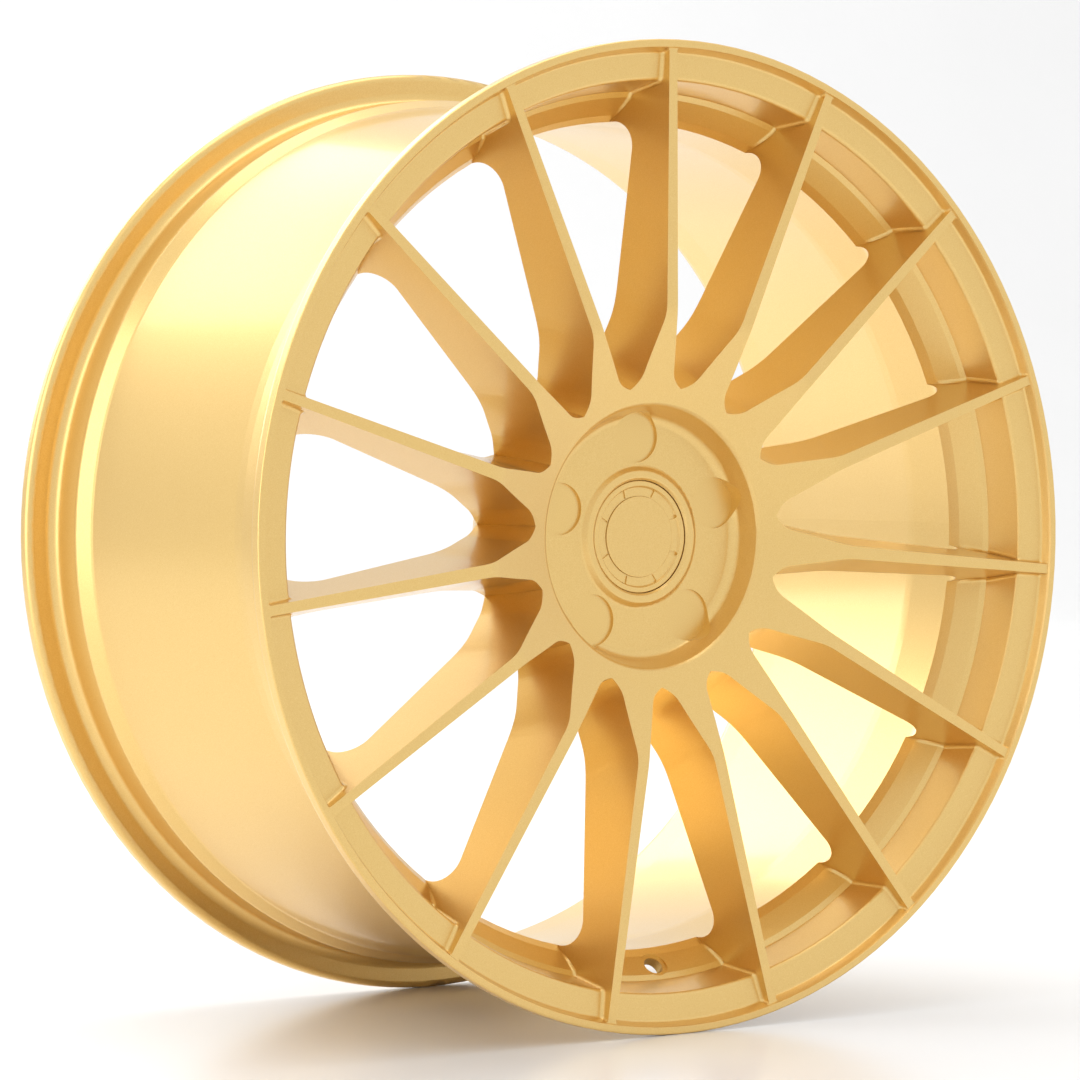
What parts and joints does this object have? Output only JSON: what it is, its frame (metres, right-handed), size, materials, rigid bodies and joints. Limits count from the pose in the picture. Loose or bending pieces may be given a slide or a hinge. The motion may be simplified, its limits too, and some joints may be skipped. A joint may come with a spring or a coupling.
{
  "type": "racing wheel rim",
  "caption": "One-piece forged car wheel with thin blade spokes, a deep barrel, blank lug pockets and a push-in centre cap.",
  "frame": {"origin": "centre of the wheel on its spin axis, halfway between the two flanges", "axes": "+Y along the spin axis, pointing inboard to the car; the spoked face looks to -Y; +Z along the spoke opposite the valve hole"},
  "size_m": [0.5478, 0.2608, 0.5478],
  "materials": {
    "gold_paint": "satin metallic clear coat over forged aluminium",
    "gold_cap": "satin metallic paint on moulded plastic",
    "spring_wire": "drawn spring steel"
  },
  "bodies": {
    "wheel": {"wheel": "gold_paint"},
    "clip_ring": {"cap_clip_ring": "spring_wire"},
    "cap": {"cap_body": "gold_cap", "cap_inlay": "gold_cap"}
  },
  "joints": [
    {"name": "cap_pull", "type": "slide", "parent": "wheel", "child": "clip_ring", "axis": [0, -1, 0], "range_m": [0, 0.065]},
    {"name": "cap_turn", "type": "hinge", "parent": "clip_ring", "child": "cap", "pos_m": [0, -0.085, 0], "axis": [0, 1, 0], "continuous": true}
  ]
}
